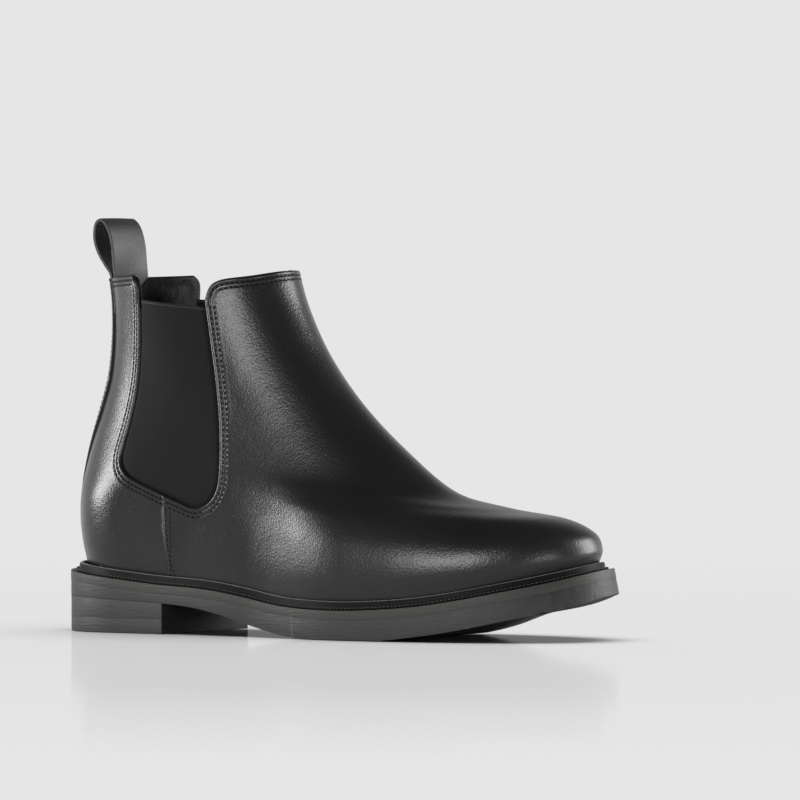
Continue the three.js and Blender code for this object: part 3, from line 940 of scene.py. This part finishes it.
def sweep(name, centres, across, upward, section, material):
    section = np.array(section, float)
    n, m = len(centres), len(section)
    points = (centres[:, None] + across[:, None] * section[:, :1]
              + upward[:, None] * section[:, 1:]).reshape(-1, 3)
    faces = tube_faces(n, m, False) + [list(range(m))[::-1], [(n - 1) * m + k for k in range(m)]]
    volume = sum(float(np.dot(points[f[0]], np.cross(points[f[i]], points[f[i + 1]])))
                 for f in faces for i in range(1, len(f) - 1))
    if volume < 0:
        faces = [f[::-1] for f in faces]
    return as_piece(name, points, faces, material, None, 45)


def ring(width, height, radius, steps=4):
    """A rounded rectangle about the origin."""
    out = []
    for cx, cy, start in ((1, 1, 0), (-1, 1, 90), (-1, -1, 180), (1, -1, 270)):
        for i in range(steps + 1):
            a = math.radians(start + 90 * i / steps)
            out.append((cx * (width / 2 - radius) + radius * math.cos(a),
                        cy * (height / 2 - radius) + radius * math.sin(a)))
    return out


BINDING = twisted_thread("binding", (.008, .008, .008), (.034, .033, .032))
for side_name, medial in (("lateral", False), ("medial", True)):
    x = np.linspace(16.4, 57.9, 60) - (3.4 if medial else 0.0)
    uv = find_uv(x, np.interp(x, *GORE_TOP) - .9, medial)
    centres, n = row_on(uv, elastic_relief(uv) - .5)
    rise = unit(skin(uv[:, 0], uv[:, 1] + .003) - skin(uv[:, 0], uv[:, 1] - .003))
    piece = sweep(f"elastic_binding_{side_name}", centres, n, rise, ring(1.4, 1.5, .6), BINDING)
    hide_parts(f"gore_binding_{side_name}")
    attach(piece, "boot")

# %% [markdown]
# ## Linings
# Thin black leather lines the shaft and the foot. It comes up to the topline, where it is turned
# and sewn with the outer leather, and it has soft creases where the foot goes in.

# %% Linings
LINING_DEPTH, LINING_THICK = 2.75, .9


def lining_edge(uv):
    p = on_skin(uv)
    return window_distance(side_view(p)) + 5.0 * (1 - smooth((p[:, 2] - 138) / 14))


def lining_relief(uv):
    p = on_skin(uv)
    d = np.minimum(top_distance(uv), lining_edge(uv) + 60 * (p[:, 2] < 150))
    crease = 0.5 * np.abs(wave(p * np.array([1.0, 1.0, .55]), 9.0, 4.0)) * smooth((d - 2) / 6)
    return -LINING_DEPTH + 0.95 * (1 - smooth(d / 7.0)) - crease


def lining_front(uv):
    return seam_field(uv) - 8.8


def lining_back(uv):
    return 9.2 - seam_field(uv)


for name, span, cells, trim in (("vamp_lining", (-.33, .33), (150, 90), lining_front),
                                ("quarter_lining", (.26, .74), (150, 90), lining_back)):
    sheet = Sheet(span, (.01, .994), cells).cut(trim, keep=True).cut(lining_edge, keep=True)
    for level in (.6, 1.6, HEM, 3.2):
        sheet.cut(lining_edge, level)
    lie = lining_relief(sheet.uv) - (0.25 if name == "quarter_lining" else 0.0)
    piece = thick_sheet(f"{name}_leather", sheet, lie, lie - LINING_THICK, LINING,
                        hem=lining_edge(sheet.uv))
    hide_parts(name)
    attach(piece, "boot")
    print(piece.name, len(piece.data.polygons))

# %% [markdown]
# ## The pull loop
# The loop is one strap of leather, folded into a drop. Both ends go down between the leather and
# the lining, where the topline rows hold them.

# %% Pull loop
STRAP_THICK, LOOP_WIDTH = 1.6, 28.4
DROP = [(-7.9, 157.5), (-8.1, 166), (-8.4, 176.2), (-9.2, 185), (-10.0, 192), (-11.8, 198.6),
        (-14.3, 202.8), (-17.7, 205.1), (-21.0, 203.3), (-22.3, 198.6), (-21.9, 193.2),
        (-19.4, 187), (-15.1, 180.9), (-11.9, 176.2), (-9.9, 166), (-9.2, 157.5)]


def curve_through(points, steps):
    p = np.array(points, float)
    p = np.vstack([2 * p[0] - p[1], p, 2 * p[-1] - p[-2]])
    out = []
    for i in range(1, len(p) - 2):
        f = np.linspace(0, 1, steps, endpoint=False)[:, None]
        q = 2 * p[i - 1] - 5 * p[i] + 4 * p[i + 1] - p[i + 2]
        out.append(.5 * (2 * p[i] + (p[i + 1] - p[i - 1]) * f + q * f ** 2
                         + (3 * p[i] - p[i - 1] - 3 * p[i + 1] + p[i + 2]) * f ** 3))
    return np.vstack(out + [p[-2:-1]])


outer_line = curve_through(DROP, 9)
step = np.gradient(outer_line, axis=0)
inward = unit(np.stack([-step[:, 1], step[:, 0]], 1))
thick = STRAP_THICK * mix(.45, 1, smooth((outer_line[:, 1] - 170) / 9))[:, None]
inner_line = outer_line + inward * thick
across = np.linspace(-1, 1, 27)
crown = 0.22 * (1 - across ** 2)[None, :, None]
loop_points = []
for line, away in ((outer_line, -1), (inner_line, -.4)):
    flat = line[:, None, :] + inward[:, None, :] * crown * away
    flat[..., 0] -= 3.4 * (1 - across ** 2) * smooth((193 - line[:, None, 1]) / 24)
    wide = np.broadcast_to(across * LOOP_WIDTH / 2, flat.shape[:2])
    loop_points.append(np.stack([flat[..., 0], wide, flat[..., 1]], -1).reshape(-1, 3))
rows, cols = len(outer_line), len(across)
loop_faces = [[i * cols + j, i * cols + j + 1, (i + 1) * cols + j + 1, (i + 1) * cols + j]
              for i in range(rows - 1) for j in range(cols - 1)]
count = rows * cols
loop_faces += ([[k + count for k in f[::-1]] for f in loop_faces]
               + [[b, a, a + count, b + count] for a, b in boundary(loop_faces)])
loop = as_piece("pull_loop_strap", np.vstack(loop_points), loop_faces, STRAP, None, 40)


def recalculate(piece):
    pick(piece)
    bpy.ops.object.mode_set(mode="EDIT")
    bpy.ops.mesh.select_all(action="SELECT")
    bpy.ops.mesh.remove_doubles(threshold=1e-6)
    bpy.ops.mesh.normals_make_consistent(inside=False)
    bpy.ops.object.mode_set(mode="OBJECT")


def rounded_edges(piece, width, segments=3, angle=40):
    bevel = piece.modifiers.new("rounded", "BEVEL")
    bevel.width, bevel.segments = width * MM, segments
    bevel.limit_method, bevel.angle_limit = "ANGLE", math.radians(angle)
    bevel.harden_normals = False
    pick(piece)
    bpy.ops.object.modifier_apply(modifier=bevel.name)
    bpy.ops.object.shade_smooth_by_angle(angle=math.radians(35))


recalculate(loop)
rounded_edges(loop, .45)
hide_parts("pull_loop", "pull_loop_tail")
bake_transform(loop)
print("loop faces", len(loop.data.polygons))

# %% [markdown]
# ## The welt
# The welt is a black strip between the upper and the sole. A thin lip rolls up against the
# leather, and outside it runs a channel that holds the stitches.

# %% Outline of the foot
def ground_line(u, offset):
    """The outline at the feather line, moved outwards, with its place on the sole's top face."""
    e = 1e-3
    p = skin(u, 0.0)
    d = skin(np.asarray(u) + e, 0.0) - skin(np.asarray(u) - e, 0.0)
    n = unit(np.stack([-d[..., 1], d[..., 0]], -1))
    return p[..., :2] + n * np.asarray(offset)[..., None]


def even_stations(count):
    fine = np.linspace(0, 1, 4001)
    step = np.linalg.norm(np.diff(ground_line(fine, 0.0 * fine), axis=0), axis=1)
    along = np.concatenate([[0], np.cumsum(step)])
    return np.interp(np.linspace(0, along[-1], count + 1)[:-1], along, fine)


STATIONS = even_stations(420)


def sole_edge(u):
    x = skin(u, 0.0)[..., 0]
    return mix(5.8, 7.6, smooth((x - 200) / 60)) + 1.4 * smooth((10 - x) / 30)


def ring_at(offset, height):
    """A closed line around the boot, at an offset from the upper and a height over the sole."""
    xy = ground_line(STATIONS, np.full(len(STATIONS), offset))
    return np.stack([xy[:, 0], xy[:, 1], ledge(xy[:, 0], xy[:, 1]) + height], 1)


def band(name, section, material, ridge):
    """A ring with one section all the way round: pairs of offset and height."""
    rings = [ring_at(o, h) for o, h in section]
    n, m = len(STATIONS), len(section)
    points = np.stack(rings, 1).reshape(-1, 3)
    piece = as_piece(name, points, tube_faces(n, m, True), material,
                     {"ridge": np.tile(ridge, n)}, 50)
    recalculate(piece)
    return piece


WELT = [(-5.5, .3), (4.6, .3), (4.75, .5), (4.7, .9), (4.5, 1.05), (3.4, 1.1), (3.05, 1.4),
        (2.9, 2.4), (2.85, 3.3), (2.7, 3.85), (2.35, 4.25), (1.9, 4.4), (1.4, 4.35), (.95, 4.1),
        (.6, 3.7), (.5, 3.2), (-5.5, 3.2)]
# RIDGE marks the lip's top, where a highlight is painted into the colour.
RIDGE = [0, 0, 0, 0, 0, 0, 0, 0, 0, 0, .2, 1, .35, 0, 0, 0, 0]
welt = band("welt_strip", WELT, WELT_RUBBER, RIDGE)
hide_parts("welt")
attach(welt, "boot")
thread_line = np.vstack([ring_at(4.1, 1.2), ring_at(4.1, 1.2)[:1]])
lift = np.zeros_like(thread_line) + np.array([0, 0, 1.0])
WELT_THREAD = twisted_thread("welt_thread_black", (.02, .018, .015), (.12, .105, .085))
thread = sew("welt_stitches", [(thread_line, lift)], WELT_THREAD, 1.6, .55, .8, .6)
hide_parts("welt_thread")
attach(thread, "boot")

# %% [markdown]
# ## Soles and heel
# Each layer of the sole starts as a flat grid that fills the outline. It is given a thickness,
# its lower side is put where that layer ends, and its edges are rounded by a bevel.

# %% Sole layers
MIDSOLE, TOP_PIECE, BREAST = 4.5, 7.0, 36.0


def sunk(x, y, depth):
    """A point under the top face, moved square to the face's slope."""
    slope = np.arctan(ledge(x + .5, y) - ledge(x - .5, y)) * (x > 120)
    return np.stack([x + depth * np.sin(slope), y, ledge(x, y) - depth], -1)


def breast_station(x, inset, side):
    """Where the outline crosses the front face of the heel."""
    u = np.linspace(.25, .5, 2000)
    u = u if side > 0 else 1 - u
    line = ground_line(u, sole_edge(u) - inset)[:, 0]
    return u[np.argmin(np.abs(line - x))]


def layer(name, top, bottom, inset, material, cells, bevel, breast=None):
    piece, flat = flat_grid(cells)
    piece.name = name
    half = np.concatenate([STATIONS[STATIONS <= .5], [.5]])
    stations = np.interp(np.linspace(0, 1, cells[0] + 1), np.linspace(0, 1, len(half)), half)
    u = np.interp(flat[:, 0], np.linspace(0, 1, cells[0] + 1), stations)
    starts = [0.0, 1.0]
    if breast is not None:
        starts = [breast_station(breast, inset, side) for side in (1, -1)]
    a_u, b_u = (start + (u * 2) * (.5 - start) for start in starts)
    a = ground_line(a_u, sole_edge(a_u) - inset)
    b = ground_line(b_u, sole_edge(b_u) - inset)
    xy = a + (b - a) * flat[:, 1:]
    piece.data.vertices.foreach_set("co", (np.column_stack([xy, xy[:, 0] * 0]) * MM).ravel())
    recalculate(piece)
    if piece.data.polygons[len(piece.data.polygons) // 2].normal.z < 0:
        piece.data.flip_normals()
    solid = piece.modifiers.new("thickness", "SOLIDIFY")
    solid.thickness, solid.offset = 0.001, -1
    bpy.ops.object.modifier_apply(modifier=solid.name)
    co = np.array([v.co for v in piece.data.vertices]) / MM
    count = len(co) // 2
    x, y = co[:count, 0], co[:count, 1]
    co[:count], co[count:] = top(x, y), bottom(x, y)
    piece.data.vertices.foreach_set("co", (co * MM).ravel())
    piece.data.update()
    rounded_edges(piece, bevel, 3, 50)
    put(piece, material)
    # Faces that face down, and the heel's front face, take the near-black rubber as painted shade.
    piece.data.materials.append(UNDERSIDE_SHADE_RUBBER)
    for face in piece.data.polygons:
        front = breast is not None and face.normal.x > .8
        face.material_index = int(front or face.normal.z < -.6)
    print(name, "faces", len(piece.data.polygons))
    return piece


def level_face(height):
    return lambda x, y: np.stack([x, y, np.full_like(x, height)], -1)


def tread(x, y):
    """Shallow grooves across the forefoot, on the underside."""
    area = smooth((x - 118) / 6) * smooth((258 - x) / 6) * smooth((36 - np.abs(y - 6)) / 3)
    wavy = (x + 2.5 * np.sin(y / 7.0)) / 6.5
    near = np.abs(wavy - np.round(wavy)) * 6.5
    return .8 * area * (1 - smooth((near - .7) / .5))


def outsole_under(x, y):
    depth = np.maximum(6.8, ledge(x, y) - under(x, y))
    p = sunk(x, y, depth)
    p[:, 2] = np.where(under(x, y) <= 0, 0.0, p[:, 2]) + tread(x, y)
    return p


layers = {
    "midsole": layer("midsole_slab", lambda x, y: sunk(x, y, 0.0),
                     lambda x, y: sunk(x, y, MIDSOLE - .05), 0.0, MIDSOLE_RUBBER, (300, 24), .4),
    "outsole": layer("outsole_slab", lambda x, y: sunk(x, y, MIDSOLE), outsole_under, 0.12,
                     OUTSOLE_RUBBER, (420, 30), .3),
    "heel_lift": layer("heel_lift_block", lambda x, y: np.stack([x, y, UNDER(x) - .15], -1),
                       level_face(TOP_PIECE + .06), .2, HEEL_RUBBER, (90, 16), .18, BREAST),
    "heel_top_piece": layer("heel_top_slab", level_face(TOP_PIECE), level_face(0.0), .2, TOP_RUBBER,
                            (90, 16), .18, BREAST),
}
for node_name, piece in layers.items():
    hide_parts(node_name)
    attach(piece, "boot")

# %% [markdown]
# ## Floor and light
# The floor is pale and polished enough to hold a faint reflection. It fades out into the backdrop
# colour, so no horizon shows. Its own broad light falls on nothing else, and the boxes that light
# the boot leave the floor alone, so each can be set by itself.

# %% Studio
FLOOR_RADIUS, FADE_START, FADE_WIDTH = 1.1, .5, .55


def floor_finish():
    f = Finish("studio_floor")
    f.tree.nodes.remove(f.shader)
    clear = f.node("ShaderNodeBsdfTransparent")
    matt = f.node("ShaderNodeBsdfDiffuse", {}, {"Color": (.8, .8, .81, 1)})
    gloss = f.node("ShaderNodeBsdfGlossy", {}, {"Color": (.97, .97, .98, 1), "Roughness": .09})
    reach = f.node("ShaderNodeVectorMath", {"operation": "LENGTH"}, [f.place()], out=1)
    shine = f.node("ShaderNodeMixShader", {}, {0: .15, 1: matt, 2: gloss})
    fade = 1.0 - ((reach - FADE_START) * (1 / FADE_WIDTH)).clip()
    whole = f.node("ShaderNodeMixShader", {}, {0: fade, 1: clear, 2: shine})
    f.tree.links.new(whole.socket, f.out.inputs[0])
    return f.material


bpy.ops.object.select_all(action="DESELECT")
bpy.ops.mesh.primitive_circle_add(vertices=96, radius=FLOOR_RADIUS, fill_type="NGON",
                                  location=(.12, 0, -.0003))
floor = bpy.context.object
floor.name = "floor"
put(floor, floor_finish())
floor_light = bpy.data.objects.new("floor_light", bpy.data.lights.new("floor_light", "SUN"))
bpy.context.collection.objects.link(floor_light)
floor_light.data.energy, floor_light.data.angle = 2.55, math.radians(70)
only_floor = bpy.data.collections.new("only_floor")
only_floor.objects.link(floor)
floor_light.light_linking.receiver_collection = only_floor
not_floor = bpy.data.collections.new("not_floor")
not_floor.objects.link(floor)
not_floor.collection_objects[0].light_linking.link_state = "EXCLUDE"
print("floor radius", FLOOR_RADIUS)

# %% [markdown]
# The room is pale to the eye, but black leather only looks black when most of what it mirrors is
# dark. So the lens sees a pale room, while the light that falls on the boot comes from a dim one
# that is brighter behind the boot and from the floor. A wide box lights the lateral side, a small
# one near the heel makes its bright spot, and two at the toe end light the instep and the toe cap.

# %% Room
BACKDROP = (.79, .79, .80, 1)
BEHIND, BELOW, AMBIENT = .95, .35, .06


def room():
    world = bpy.data.worlds.new("studio")
    world.use_nodes = True
    bpy.context.scene.world = world
    f = Finish("room_wires")
    f.tree = world.node_tree
    where = f.node("ShaderNodeTexCoord", out="Generated")
    behind = f.node("ShaderNodeVectorMath", {"operation": "DOT_PRODUCT"},
                    [where, tuple(-back)], out=1)
    height = f.node("ShaderNodeVectorMath", {"operation": "DOT_PRODUCT"},
                    [where, (0, 0, 1)], out=1)
    low = 1.0 - (height.maths("ABSOLUTE", height) * 1.25).clip()  # fades towards the zenith
    below = (height * -5.0).clip()
    glow = ((behind - .2) * 1.6).clip() * low * BEHIND + below * BELOW + AMBIENT
    dim = f.node("ShaderNodeCombineColor", {}, [glow, glow, glow])
    seen = f.node("ShaderNodeLightPath", out="Is Camera Ray")
    colour = f.node("ShaderNodeMix", {"data_type": "RGBA"}, {
        0: seen, 6: dim, 7: BACKDROP}, out=2)
    f.tree.links.new(colour.socket, world.node_tree.nodes["Background"].inputs[0])
    bpy.data.materials.remove(f.material)


room()
bpy.context.scene.view_settings.view_transform = "Standard"


def soft_box(name, place, at, width, height, watts):
    light = bpy.data.lights.new(name, "AREA")
    light.shape = "RECTANGLE"
    light.size, light.size_y, light.energy = width, height, watts
    lamp = bpy.data.objects.new(name, light)
    bpy.context.collection.objects.link(lamp)
    lamp.location = place
    lamp.light_linking.receiver_collection = not_floor
    lamp.rotation_euler = (Vector(place) - Vector(at)).to_track_quat("Z", "Y").to_euler()


def toward(azimuth, elevation, distance):
    """A place seen from the boot: azimuth 0 is the lateral side, 90 the toe."""
    a, e = math.radians(azimuth), math.radians(elevation)
    return (.12 + distance * math.sin(a) * math.cos(e), -distance * math.cos(a) * math.cos(e),
            .08 + distance * math.sin(e))


soft_box("side", toward(4, 12, 1.3), (.12, 0, .09), .75, .3, 9.5)
soft_box("heel_side", toward(-68, 10, .6), (-.01, -.02, .09), .18, .2, 2.0)
soft_box("toe_side", toward(131, 14, 1.3), (.12, 0, .09), .8, .9, 20)
soft_box("toe_spot", toward(64, -1, 1.2), (.2, 0, .04), .3, .25, 2.1)
